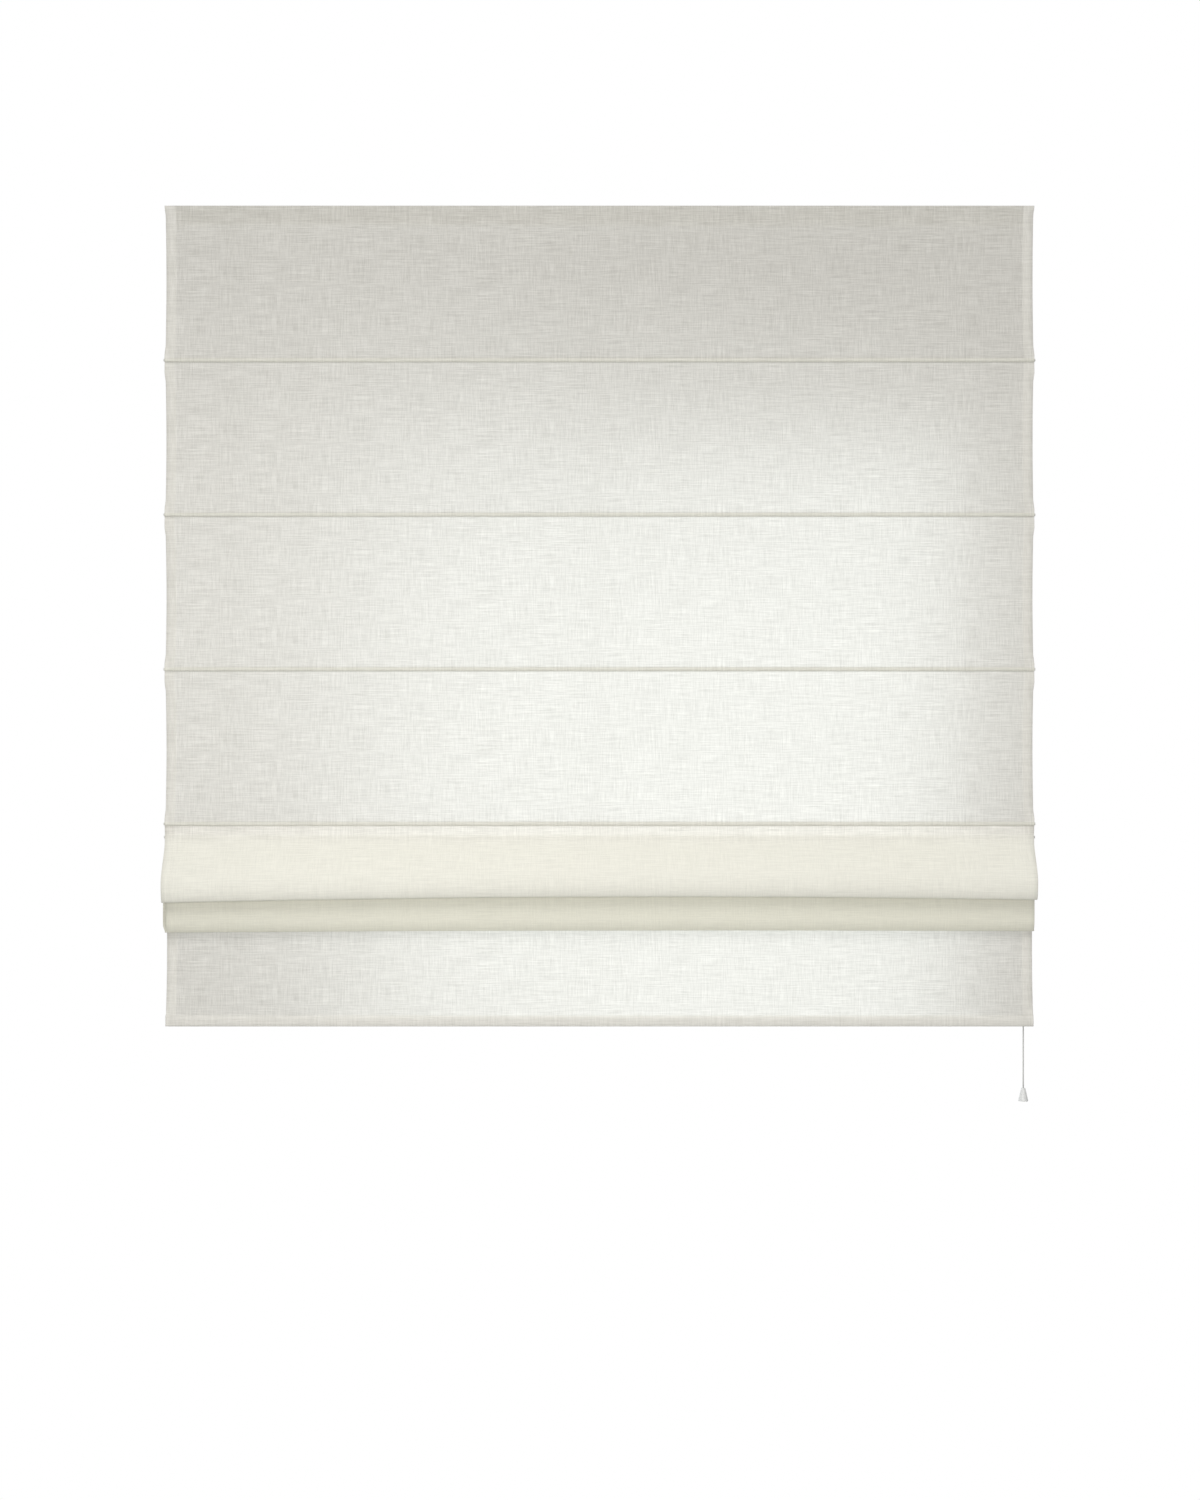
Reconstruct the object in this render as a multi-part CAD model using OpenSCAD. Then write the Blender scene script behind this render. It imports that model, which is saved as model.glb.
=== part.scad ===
// Roman blind, drawn up a little: a cloth of seven panels on a clip-in headrail, with six
// stiffening rods in sewn pockets, three lift cords, a cord lock and one pull cord with a bell.
// Millimetres. Origin at the middle of the two wall screw holes, on the wall plane.
// X runs to the right as seen from the room, Y into the wall, Z up. The room side faces -Y.

/* [Part] */

/* [Overall] */
blind_w = 1300;         // finished width of the cloth
panel_h = 231;          // rod to rod on the hanging panels
wall_gap = 10;          // wall to the back of the headrail
edge_cord = 100;        // cloth edge to the outer lift cords

/* [Headrail] */
rail_inset = 4;         // cloth edge to the end of the rail
rail_d = 28;
rail_h = 30;
rail_t = 1.6;
rail_slot = 12;         // cord slot along the underside
slot_in = 9.8;          // back of the rail to the middle of the slot
rail_hook = 4.8;        // hanging lip behind the back wall, reach
rail_hook_h = 5.5;      // hanging lip, height
cap_t = 2;
cap_corner = 1.5;
cap_tab = 6;
cap_tab_w = 20;
tape_inset = 1.5;       // rail edge to the edge of the tapes
tape_t = 1.2;

/* [Brackets] */
bracket_in = 100;       // outer lift cords to the bracket screws
plate_w = 30;
plate_t = 2.5;
plate_top = 2;          // rail top down to the top of the plate
plate_corner = 4;
screw_r = 2.25;
arm_w = 18;
arm_t = 2.8;
arm_down = 7.2;         // rail top down to the arm
lip_gap = 0.4;          // bracket lip to the back of the rail
lip_t = 2.4;
ear_gap = 14.6;         // clear width between the ears
ear_t = 2;
ear_r = 3.3;            // round end of an ear
pivot_out = 6.2;        // wall to the latch pin
pin_r = 1.5;
run_gap = 0.06;         // running clearance on a pin
latch_w = 14;
latch_hub_r = 3;
latch_t = 2.2;
latch_reach = 22;       // wall to the tip of the latch
latch_gap = 0.3;        // rail to latch
tab_drop = 3;           // finger tab under the tip
nose_gap = 0.6;
nose_t = 1.9;
nose_up = 1.1;          // above the underside of the rail

/* [Cord guides and lock] */
box_gap = 0.3;          // guide to each edge of the slot
box_wall = 1.5;
box_corner = 2.5;
end_wall = 3;
guide_len = 30;
guide_below = 3;        // under the rail
guide_top = 12;         // above the underside of the rail
flange_over = 2;        // flange past each edge of the slot
flange_t = 1.2;
roller_r = 6;
roller_w = 7;
roller_up = 6;          // roller axis above the underside of the rail
notch_up = 9.6;         // cord notch in the end walls, above the underside of the rail
cord_r = 0.6;
cord_slip = 0.1;        // cord to roller
cord_pitch = 1.6;       // cord to cord on the lock roller
lock_len = 39;
lock_inset = 1;         // rail end to lock
lock_below = 15;        // under the rail
lock_end = 8;
lock_side = 2;
lock_corner = 5;
cord_inset = 7.5;       // lock end to the cords
pawl_back = 11.5;       // cords to the pawl pin
pawl_down = 8;          // pawl pin under the rail
pawl_hub_r = 3.2;
pawl_t = 3;
pawl_gap = 0.45;        // pawl tip to the cords
pawl_w = 7;

/* [Cloth] */
cloth_t = 0.6;
pocket_slip = 0.3;      // rod to pocket
pocket_back = 1;        // pocket axis behind the middle of the cloth
hem_w = 15;             // side hems
hem_turn = 0.6;         // second layer at a side hem
fold1_r = 6;            // bottom turn of the upper fold
fold2_r = 4;            // bottom turn of the lower fold
fold1_front = 31;       // upper fold, ahead of the hanging cloth
fold2_front = 9;        // lower fold, ahead of the hanging cloth
fold1_drop = 111.6;     // below rod 4
fold2_drop = 140.8;     // below rod 5
fold1_ease = [18, 96];  // where the upper fold starts and stops leaning
fold2_ease = [8, 100];  // where the lower fold starts and stops leaning

/* [Rods] */
rod_r = 2;
rod_poke = 1.3;         // past each edge of the cloth
rod5_below = 20;        // below rod 4
rod6_below = 53;        // below rod 5
rod5_back = 3.4;        // behind rod 4
rod6_back = 3;          // behind rod 5
ring_r = 5.5;
ring_bore = 4.2;
ring_h = 3;
ring_reach = 11;        // rod axis to ring axis
shank_r = 1.1;
shank_slip = 0.5;
cord_hang = 2.6;        // lift cord behind the middle of its rings

/* [Bottom hem] */
bar_inset = 5;
bar_h = 10;
bar_t = 2;
bar_slip = 0.3;
bar_up = 1;             // hem edge to the underside of the bar
bottom_panel = 231;

/* [Cord ends] */
grip_r = 4.5;
grip_h = 22;
grip_waist = 0.8;
stem_r = 2.6;
stop_r = 5.5;
stop_h = 2.5;
stack_gap = 0.4;
tail_len = 425;         // rail to joiner
tail_close = 0.15;      // the outer tails draw in by this
pull_len = 843;
pull_r = 1;
joiner_r = 4.5;
joiner_h = 24;
joiner_neck = 2.6;
joiner_cone = 8;
bell_h = 19.6;
bell_r = 7.1;
bell_neck = 2.7;
bell_wall = 1.1;
bell_crown = 4;
bell_rim = 1.6;
knot_r = 2;
knot_drop = 1.6;

/* [Hidden] */
$fn = 28;
lobe_steps = 22;
turn_steps = 12;
grip_rings = 4;
cord_sides = 8;
cord_turn = 5;
ring_fn = 18;
eps = 0.01;

// Derived places
rail_back = -wall_gap;
rail_front = rail_back - rail_d;
rail_mid = (rail_back + rail_front) / 2;
slot_mid = rail_back - slot_in;
rail_top = rail_h / 2;
rail_len = blind_w - 2 * rail_inset;
slot_back = slot_mid + rail_slot / 2;
lip_top = -rail_top + rail_t;
tape_h = rail_h - 2 * tape_inset;
cloth_y = rail_front - 2 * tape_t - cloth_t / 2;
cord_x = blind_w / 2 - edge_cord;
side_x = [-cord_x, 0, cord_x];
bracket_x = cord_x - bracket_in;
latch_hi = -rail_top - latch_gap;
pivot_y = -pivot_out;
pivot_z = latch_hi - latch_t / 2 - latch_hub_r + latch_t / 4;
plate_lo = pivot_z - ear_r;
box_w = rail_slot - 2 * box_gap;
flange_w = rail_slot + 2 * flange_over;
roller_z = -rail_top + roller_up;
bend_r = roller_r + cord_r + cord_slip;
drop_y = slot_mid + cord_pitch / 2;
lock_y = [drop_y - 2 * cord_pitch, drop_y - cord_pitch, drop_y];
lock_x1 = rail_len / 2 - lock_inset;
pull_x = lock_x1 - cord_inset;
lock_roller_x = pull_x - bend_r;
pawl_x = pull_x - pawl_back;
pawl_z = -rail_top - pawl_down;
pawl_tip = pull_x - cord_r - pawl_gap;
pocket_bore = rod_r + pocket_slip;
pocket_r = pocket_bore + cloth_t;
seam = (pocket_r - cloth_t / 2) / sqrt(2); // where a folded layer meets its pocket, from the pocket axis
rod_y = [cloth_y, cloth_y, cloth_y, cloth_y, cloth_y + rod5_back, cloth_y + rod5_back + rod6_back];
rod4_z = rail_top - 4 * panel_h;
rod_z = [rail_top - panel_h, rail_top - 2 * panel_h, rail_top - 3 * panel_h, rod4_z,
  rod4_z - rod5_below, rod4_z - rod5_below - rod6_below];
hem_z = rod_z[5] - bottom_panel;
bar_y = rod_y[5] + pocket_back;
hem_lo = hem_z + bar_h + 2 * bar_up;
hem_hi = -tape_h / 2 - stack_gap;
joiner_top = -rail_top - tail_len;
bell_top = joiner_top - joiner_h - pull_len;

// Shapes along an axis
module along_x(len) rotate([90, 0, 90]) linear_extrude(height = len, center = true) children();
module along_y(len) rotate([90, 0, 0]) linear_extrude(height = len, center = true) children();
module box_from(lo, hi) translate(lo) cube(hi - lo);
module round_rect(w, h, r) {
  square([w - 2 * r, h], center = true);
  square([w, h - 2 * r], center = true);
  for (i = [-1, 1], j = [-1, 1]) translate([i * (w / 2 - r), j * (h / 2 - r)]) circle(r);
}
module peg_y(x, y0, y1, z, r) translate([x, (y0 + y1) / 2, z]) along_y(y1 - y0) circle(r);
module peg_x(x, len, y, z, r) translate([x, y, z]) along_x(len) circle(r);
module cord_run(p, q, r) {
  v = q - p;
  l = norm(v);
  translate(p) rotate([0, acos(v[2] / l), atan2(v[1], v[0])]) cylinder(r = r, h = l);
}

// Cloth paths in (y, z), from top to bottom
function ease(u) = let(c = min(max(u, 0), 1)) c * c * (3 - 2 * c);
function lean(y0, y1, e, d) = y0 + (y1 - y0) * ease((d - e[0]) / (e[1] - e[0]));
function layer(y0, y1, z0, z1, e) =
  [for (i = [0 : lobe_steps]) let(d = (z0 - z1) * i / lobe_steps) [lean(y0, y1, e, d), z0 - d]];
function turn(y, z, r) =
  [for (i = [1 : turn_steps - 1]) let(a = 180 * i / turn_steps) [y + r - r * cos(a), z - r * sin(a)]];
function rise(y0, y1, z0, z1) =
  [for (i = [0 : lobe_steps]) let(u = i / lobe_steps) [y0 + (y1 - y0) * ease(u), z0 + (z1 - z0) * u]];

fold1_z = rod_z[3] - fold1_drop + fold1_r;
fold2_z = rod_z[4] - fold2_drop + fold2_r;
pocket_y = [for (y = rod_y) y + pocket_back];
hang_path = concat([[cloth_y, rail_top]],
  layer(cloth_y, cloth_y - fold1_front, rod_z[3], fold1_z, fold1_ease),
  turn(cloth_y - fold1_front, fold1_z, fold1_r),
  rise(cloth_y - fold1_front + 2 * fold1_r, pocket_y[4] - seam, fold1_z, rod_z[4] - seam));
lower_path = concat(
  layer(pocket_y[4] + seam, cloth_y - fold2_front, rod_z[4] - seam, fold2_z, fold2_ease),
  turn(cloth_y - fold2_front, fold2_z, fold2_r),
  rise(cloth_y - fold2_front + 2 * fold2_r, pocket_y[5] - seam, fold2_z, rod_z[5] - seam));
tail_path = [[bar_y, rod_z[5] - pocket_r + cloth_t / 2], [bar_y, hem_z]];

function dir(p, i) = let(a = p[max(i - 1, 0)], b = p[min(i + 1, len(p) - 1)]) (b - a) / norm(b - a);
function shift(p, d) = [for (i = [0 : len(p) - 1]) let(t = dir(p, i)) p[i] + d * [-t[1], t[0]]];
function back_to_front(p) = [for (i = [len(p) - 1 : -1 : 0]) p[i]];
module ribbon(p, d0, d1) polygon(concat(shift(p, d0), back_to_front(shift(p, d1))));
module cloth_ribbons(d0, d1) {
  ribbon(hang_path, d0, d1);
  ribbon(lower_path, d0, d1);
  ribbon(tail_path, d0, d1);
}
module pocket_circles(r) for (i = [0 : 5]) translate([pocket_y[i], rod_z[i]]) circle(r);
module bar_sleeve(grow) translate([bar_y, hem_z + bar_up + bar_h / 2])
  square([bar_t + 2 * grow, bar_h + 2 * grow], center = true);

// Headrail and its ends
module headrail() along_x(rail_len) {
  difference() {
    translate([rail_mid, 0]) square([rail_d, rail_h], center = true);
    translate([rail_mid, 0]) square([rail_d - 2 * rail_t, rail_h - 2 * rail_t], center = true);
    translate([slot_mid, -rail_top]) square([rail_slot, 2 * rail_t + 2 * eps], center = true);
  }
  translate([rail_back - eps, rail_top - rail_t]) square([rail_hook + eps, rail_t]);
  translate([rail_back + rail_hook - rail_t, rail_top - rail_hook_h]) square([rail_t, rail_hook_h]);
}
module end_cap(side) {
  translate([side * (rail_len + cap_t) / 2, rail_mid, 0]) along_x(cap_t) round_rect(rail_d, rail_h, cap_corner);
  for (s = [-1, 1])
    translate([side * (rail_len - cap_tab) / 2, rail_mid, s * (rail_top - 3 * rail_t / 2)]) difference() {
      cube([cap_tab, cap_tab_w, rail_t], center = true);
      if (s < 0) translate([0, slot_mid - rail_mid, 0])
        cube([cap_tab + cap_t, flange_w + 2 * box_gap, 2 * rail_t], center = true);
    }
}
module left_end_cap() end_cap(-1);
module right_end_cap() end_cap(1);
module hook_tape() translate([0, rail_front - tape_t / 2, 0])
  cube([rail_len, tape_t, tape_h], center = true);
module loop_tape() translate([0, rail_front - 3 * tape_t / 2, 0])
  cube([rail_len, tape_t, tape_h], center = true);

// Wall brackets with a swinging latch under the rail
module bracket_arm() {
  translate([rail_back + lip_gap, rail_top - arm_down - arm_t])
    square([wall_gap - lip_gap - plate_t + eps, arm_t]);
  translate([rail_back + lip_gap, rail_top - arm_down - arm_t])
    square([lip_t, arm_down + arm_t - rail_t]);
}
module bracket_ear() {
  translate([pivot_y, pivot_z]) circle(ear_r);
  translate([pivot_y, pivot_z - ear_r]) square([pivot_out - plate_t + eps, 2 * ear_r]);
}
module bracket(x) translate([x, 0, 0]) {
  difference() {
    translate([0, -plate_t / 2, (rail_top - plate_top + plate_lo) / 2])
      along_y(plate_t) round_rect(plate_w, rail_top - plate_top - plate_lo, plate_corner);
    peg_y(0, -plate_t - eps, eps, 0, screw_r);
  }
  along_x(arm_w) bracket_arm();
  for (s = [-1, 1]) translate([s * (ear_gap + ear_t) / 2, 0, 0]) along_x(ear_t) difference() {
    bracket_ear();
    translate([pivot_y, pivot_z]) circle(pin_r);
  }
}
module left_bracket() bracket(-bracket_x);
module right_bracket() bracket(bracket_x);
module latch(x) translate([x, 0, 0]) along_x(latch_w) difference() {
  union() {
    translate([pivot_y, pivot_z]) circle(latch_hub_r);
    translate([-latch_reach, latch_hi - latch_t]) square([latch_reach - pivot_out, latch_t]);
    translate([slot_back - nose_gap - nose_t, latch_hi - latch_t])
      square([nose_t, latch_t + latch_gap + nose_up]);
    translate([-latch_reach, latch_hi - latch_t - tab_drop]) square([latch_t, latch_t / 2 + tab_drop]);
    translate([-latch_reach + latch_t / 2, latch_hi - latch_t - tab_drop]) circle(latch_t / 2);
  }
  translate([pivot_y, pivot_z]) circle(pin_r + run_gap);
}
module left_latch() latch(-bracket_x);
module right_latch() latch(bracket_x);
module latch_pins() for (s = [-1, 1])
  peg_x(s * bracket_x, ear_gap + 2 * ear_t, pivot_y, pivot_z, pin_r);

// Cord guides: an open box in the rail slot, with round lower corners and a roller on a pin
module slot_box(x0, x1, below, first, last, corner) difference() {
  union() {
    translate([0, slot_mid, 0]) along_y(box_w) {
      translate([x0, -rail_top - below + corner]) square([x1 - x0, guide_top + below - corner]);
      translate([x0 + corner, -rail_top - below]) square([x1 - x0 - 2 * corner, corner + eps]);
      for (x = [x0 + corner, x1 - corner]) translate([x, -rail_top - below + corner]) circle(corner);
    }
    for (x = [[x0, x0 + end_wall], [x1 - last, x1]])
      box_from([x[0], slot_mid - flange_w / 2, lip_top], [x[1], slot_mid + flange_w / 2, lip_top + flange_t]);
  }
  box_from([x0 + first, slot_mid - box_w / 2 + box_wall, -rail_top - below - eps],
    [x1 - last, slot_mid + box_w / 2 - box_wall, -rail_top + guide_top + eps]);
}
module cord_notch(x0, x1) box_from([x0, slot_mid - box_w / 2 + box_wall, -rail_top + notch_up],
  [x1, slot_mid + box_w / 2 - box_wall, -rail_top + guide_top + eps]);
module roller_bore(x, r) peg_y(x, slot_mid - box_w, slot_mid + box_w, roller_z, r);
module guide(x) difference() {
  slot_box(x + bend_r - guide_len / 2, x + bend_r + guide_len / 2, guide_below, end_wall, end_wall, box_corner);
  roller_bore(x + bend_r, pin_r);
  cord_notch(x + bend_r - guide_len, x + bend_r + guide_len);
}
module left_guide() guide(side_x[0]);
module middle_guide() guide(side_x[1]);
module right_guide() guide(side_x[2]);
module roller(x) difference() {
  peg_y(x, slot_mid - roller_w / 2, slot_mid + roller_w / 2, roller_z, roller_r);
  roller_bore(x, pin_r + run_gap);
}
module left_roller() roller(side_x[0] + bend_r);
module middle_roller() roller(side_x[1] + bend_r);
module right_roller() roller(side_x[2] + bend_r);
module roller_pins() for (x = side_x)
  peg_y(x + bend_r, slot_mid - box_w / 2, slot_mid + box_w / 2, roller_z, pin_r);

// Cord lock: roller above, toothed pawl below, cords leave straight down
module pawl_bore(r) peg_y(pawl_x, slot_mid - box_w, slot_mid + box_w, pawl_z, r);
module cord_lock() difference() {
  slot_box(lock_x1 - lock_len, lock_x1, lock_below, lock_end, lock_side, lock_corner);
  roller_bore(lock_roller_x, pin_r);
  pawl_bore(pin_r);
  cord_notch(lock_x1 - 2 * lock_len, lock_x1 - lock_side - lock_end);
}
module lock_roller() roller(lock_roller_x);
module lock_pawl() difference() {
  translate([0, slot_mid, 0]) along_y(pawl_w) union() {
    translate([pawl_x, pawl_z]) circle(pawl_hub_r);
    polygon([[pawl_x, pawl_z - pawl_hub_r + pawl_t / 4], [pawl_tip, pawl_z + pawl_hub_r - 3 * pawl_t / 2],
      [pawl_tip - pawl_t / 4, pawl_z + pawl_hub_r - pawl_t], [pawl_tip, pawl_z + pawl_hub_r - pawl_t / 2],
      [pawl_tip - pawl_t, pawl_z + pawl_hub_r - pawl_t / 4], [pawl_x, pawl_z + pawl_hub_r - pawl_t / 4]]);
  }
  pawl_bore(pin_r + run_gap);
}
module lock_pins() {
  peg_y(lock_roller_x, slot_mid - box_w / 2, slot_mid + box_w / 2, roller_z, pin_r);
  peg_y(pawl_x, slot_mid - box_w / 2, slot_mid + box_w / 2, pawl_z, pin_r);
}

// Cloth: hanging panels, two folds, bottom panel, rod pockets, side hems and bar hem, one piece
module fabric() difference() {
  union() {
    along_x(blind_w) difference() {
      union() {
        cloth_ribbons(-cloth_t / 2, cloth_t / 2);
        pocket_circles(pocket_r);
        bar_sleeve(bar_slip + cloth_t);
      }
      pocket_circles(pocket_bore);
      bar_sleeve(bar_slip);
    }
    for (s = [-1, 1]) translate([s * (blind_w - hem_w) / 2, 0, 0]) along_x(hem_w) difference() {
      intersection() {
        cloth_ribbons(0, cloth_t / 2 + hem_turn);
        translate([cloth_y - blind_w / 2, hem_lo]) square([blind_w, hem_hi - hem_lo]);
      }
      pocket_circles(pocket_bore);
    }
  }
  for (i = [0 : 5]) for (x = side_x)
    peg_y(x, pocket_y[i] + rod_r, pocket_y[i] + ring_reach, rod_z[i], shank_r + shank_slip);
}

// Stiffening rods and the rings behind them
module rod(i) peg_x(0, blind_w + 2 * rod_poke, pocket_y[i], rod_z[i], rod_r);
module rod_1() rod(0);
module rod_2() rod(1);
module rod_3() rod(2);
module rod_4() rod(3);
module rod_5() rod(4);
module rod_6() rod(5);
module rod_rings(i) for (x = side_x) difference() {
  union() {
    translate([x, pocket_y[i] + ring_reach, rod_z[i]]) cylinder(r = ring_r, h = ring_h, center = true, $fn = ring_fn);
    peg_y(x, pocket_y[i], pocket_y[i] + ring_reach, rod_z[i], shank_r, $fn = ring_fn);
  }
  translate([x, pocket_y[i] + ring_reach, rod_z[i]])
    cylinder(r = ring_bore, h = 2 * ring_h, center = true, $fn = ring_fn);
  peg_x(x, ring_r, pocket_y[i], rod_z[i], rod_r);
}
module rod_1_rings() rod_rings(0);
module rod_2_rings() rod_rings(1);
module rod_3_rings() rod_rings(2);
module rod_4_rings() rod_rings(3);
module rod_5_rings() rod_rings(4);
module rod_6_rings() rod_rings(5);
module bottom_bar() translate([0, bar_y, hem_z + bar_up + bar_h / 2])
  cube([blind_w - 2 * bar_inset, bar_t, bar_h], center = true);

// Cords: up behind the cloth, over the guide rollers, along the rail and over the lock roller
ring6_y = pocket_y[5] + ring_reach;
hang_y = pocket_y[0] + ring_reach + cord_hang;
stop_top = rod_z[4] - ring_h / 2 - stack_gap;
function arc_xz(x, y, z, r, a0, a1) =
  [for (i = [0 : cord_turn]) let(a = a0 + (a1 - a0) * i / cord_turn) [x + r * cos(a), y, z + r * sin(a)]];
function lift_route(i) = concat([[side_x[i], ring6_y, stop_top], [side_x[i], ring6_y, stop_top + 2 * cord_r],
  [side_x[i], hang_y, rod_z[3]], [side_x[i], hang_y, rod_z[0]]],
  arc_xz(side_x[i] + bend_r, drop_y, roller_z, bend_r, 180, 90),
  arc_xz(lock_roller_x, lock_y[i], roller_z, bend_r, 90, 0));
function unit(v) = v / norm(v);
function cord_ring(p, i, r) = let(t = unit(p[min(i + 1, len(p) - 1)] - p[max(i - 1, 0)]),
  u = unit(cross(t, [0, 1, 0])), v = cross(u, t))
  [for (k = [0 : cord_sides - 1]) let(a = 360 * k / cord_sides) p[i] + r * (cos(a) * u + sin(a) * v)];
module cord_tube(p, r) {
  n = len(p);
  polyhedron([for (i = [0 : n - 1]) each cord_ring(p, i, r)], concat(
    [[for (k = [0 : cord_sides - 1]) k]],
    [for (i = [0 : n - 2], k = [0 : cord_sides - 1]) let(m = (k + 1) % cord_sides, o = i * cord_sides)
      [o + k, o + cord_sides + k, o + cord_sides + m, o + m]],
    [[for (k = [cord_sides - 1 : -1 : 0]) (n - 1) * cord_sides + k]]));
}
module lift_cords() for (i = [0 : 2]) cord_tube(lift_route(i), cord_r);
// Adjuster on each bottom ring: ribbed grip, thin stem and the stop that the ring above sits on
stop_rise = stop_top - rod_z[5] - ring_h / 2;
module adjuster() {
  rotate_extrude() polygon(concat([[0, 0]], [for (i = [0 : grip_rings - 1]) each
    [[grip_r, grip_h * i / grip_rings], [grip_r, grip_h * (i + 1 / 2) / grip_rings],
     [grip_r - grip_waist, grip_h * (i + 2 / 3) / grip_rings], [grip_r - grip_waist, grip_h * (i + 5 / 6) / grip_rings]]],
    [[grip_r, grip_h], [stem_r, grip_h + stem_r], [stem_r, stop_rise - stop_h - stem_r],
     [stop_r, stop_rise - stop_h], [stop_r, stop_rise], [0, stop_rise]]));
}
module cord_adjusters() for (x = side_x) translate([x, ring6_y, rod_z[5] + ring_h / 2]) adjuster();

// Pull: three tails into a joiner, one cord below it, and a hollow bell over the knot
module cord_tails() for (i = [0 : 2])
  cord_run([pull_x, lock_y[i] + (1 - i) * tail_close, joiner_top], [pull_x, lock_y[i], roller_z], cord_r);
module cord_connector() translate([pull_x, lock_y[1], joiner_top - joiner_h]) rotate_extrude()
  polygon([[0, 0], [joiner_neck, 0], [joiner_r, joiner_cone], [joiner_r, joiner_h - joiner_cone],
    [joiner_neck, joiner_h], [0, joiner_h]]);
module pull_cord() {
  cord_run([pull_x, lock_y[1], bell_top - bell_crown], [pull_x, lock_y[1], joiner_top - joiner_h], pull_r);
  translate([pull_x, lock_y[1], bell_top - bell_crown - knot_drop]) sphere(r = knot_r);
}
module cord_bell() translate([pull_x, lock_y[1], bell_top - bell_h]) rotate_extrude()
  polygon([[bell_r - bell_wall, 0], [bell_r, 0], [bell_r, bell_rim], [bell_neck + bell_wall / 2, bell_h - bell_wall],
    [bell_neck, bell_h], [pull_r, bell_h], [pull_r, bell_h - bell_crown], [bell_neck, bell_h - bell_crown],
    [bell_r - bell_wall, bell_rim]]);

headrail();
left_end_cap();
right_end_cap();
hook_tape();
loop_tape();
left_bracket();
right_bracket();
left_latch();
right_latch();
latch_pins();
left_guide();
middle_guide();
right_guide();
left_roller();
middle_roller();
right_roller();
roller_pins();
cord_lock();
lock_roller();
lock_pawl();
lock_pins();
fabric();
rod_1();
rod_2();
rod_3();
rod_4();
rod_5();
rod_6();
rod_1_rings();
rod_2_rings();
rod_3_rings();
rod_4_rings();
rod_5_rings();
rod_6_rings();
bottom_bar();
lift_cords();
cord_adjusters();
cord_tails();
cord_connector();
pull_cord();
cord_bell();
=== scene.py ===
import math

import bmesh
import bpy
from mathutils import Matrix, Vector, noise


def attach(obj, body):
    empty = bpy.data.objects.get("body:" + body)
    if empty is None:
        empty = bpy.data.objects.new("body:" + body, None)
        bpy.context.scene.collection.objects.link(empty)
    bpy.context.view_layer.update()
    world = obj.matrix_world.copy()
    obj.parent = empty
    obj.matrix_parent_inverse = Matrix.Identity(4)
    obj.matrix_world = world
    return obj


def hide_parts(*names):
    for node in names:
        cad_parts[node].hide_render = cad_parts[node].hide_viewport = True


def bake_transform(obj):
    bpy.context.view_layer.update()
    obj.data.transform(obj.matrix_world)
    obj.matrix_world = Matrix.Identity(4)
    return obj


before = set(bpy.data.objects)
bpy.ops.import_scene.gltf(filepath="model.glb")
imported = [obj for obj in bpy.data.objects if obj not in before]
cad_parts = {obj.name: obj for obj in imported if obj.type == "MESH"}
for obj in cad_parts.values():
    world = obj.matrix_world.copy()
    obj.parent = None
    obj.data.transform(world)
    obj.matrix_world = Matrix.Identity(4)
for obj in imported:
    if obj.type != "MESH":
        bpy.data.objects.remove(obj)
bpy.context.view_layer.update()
scene = bpy.context.scene
MM = 0.001

# Places that the CAD model sets, in metres
HALF = 0.650            # half the width of the cloth
TOP = 0.015             # top edge of the cloth
CLOTH_Y = -0.0407       # plane of the hanging panels
ROD_Z = [-0.216, -0.447, -0.678, -0.909, -0.929, -0.982]
POCKET_Y = [-0.0397, -0.0397, -0.0397, -0.0397, -0.0363, -0.0333]
HEM_Z = -1.213          # foot of the cloth
HEM_W = 0.015           # width of a side hem
BAR_LOW = HEM_Z + 0.001
BAR_HIGH = HEM_Z + 0.011
CORD_X = [-0.550, 0.0, 0.550]
PULL_X = 0.6375
PULL_Y = -0.0206
RING_Y = [y + 0.011 for y in POCKET_Y]
HANG_Y = RING_Y[0] + 0.0026     # lift cords behind the hanging panels
DROP_Y = -0.0190                # lift cords at the rollers
LOCK_Y = [-0.0222, -0.0206, -0.0190]
ROLLER_Z = -0.009
BEND_R = 0.0067                 # lift cords round a roller
LOCK_ROLLER_X = PULL_X - BEND_R
RAIL_EXIT_Z = -0.030            # lift cords below the rail
JOINER_TOP = -0.440
JOINER_END = -0.464
BELL_TOP = -1.307
STOP_TOP = ROD_Z[4] - 0.0019
LIFT_R = 0.0006
PULL_R = 0.001

# Camera, level and square to the cloth
cam_data = bpy.data.cameras.new("camera")
cam = bpy.data.objects.new("camera", cam_data)
scene.collection.objects.link(cam)
cam_data.sensor_fit = "VERTICAL"
cam_data.sensor_height = 24.0
cam_data.lens = 32.12
cam_data.clip_end = 60.0
cam.location = (0.0008, CLOTH_Y - 3.0, -0.7987)
cam.rotation_euler = (math.radians(90), 0, 0)
scene.camera = cam
scene.view_settings.view_transform = "Standard"


# Shader helpers
def new_material(name):
    m = bpy.data.materials.new(name)
    m.use_nodes = True
    nt = m.node_tree
    nt.nodes.clear()
    out = nt.nodes.new("ShaderNodeOutputMaterial")
    return m, nt, out


def add(nt, kind, **props):
    n = nt.nodes.new(kind)
    for k, v in props.items():
        setattr(n, k, v)
    return n


def link(nt, a, b):
    nt.links.new(a, b)


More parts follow.
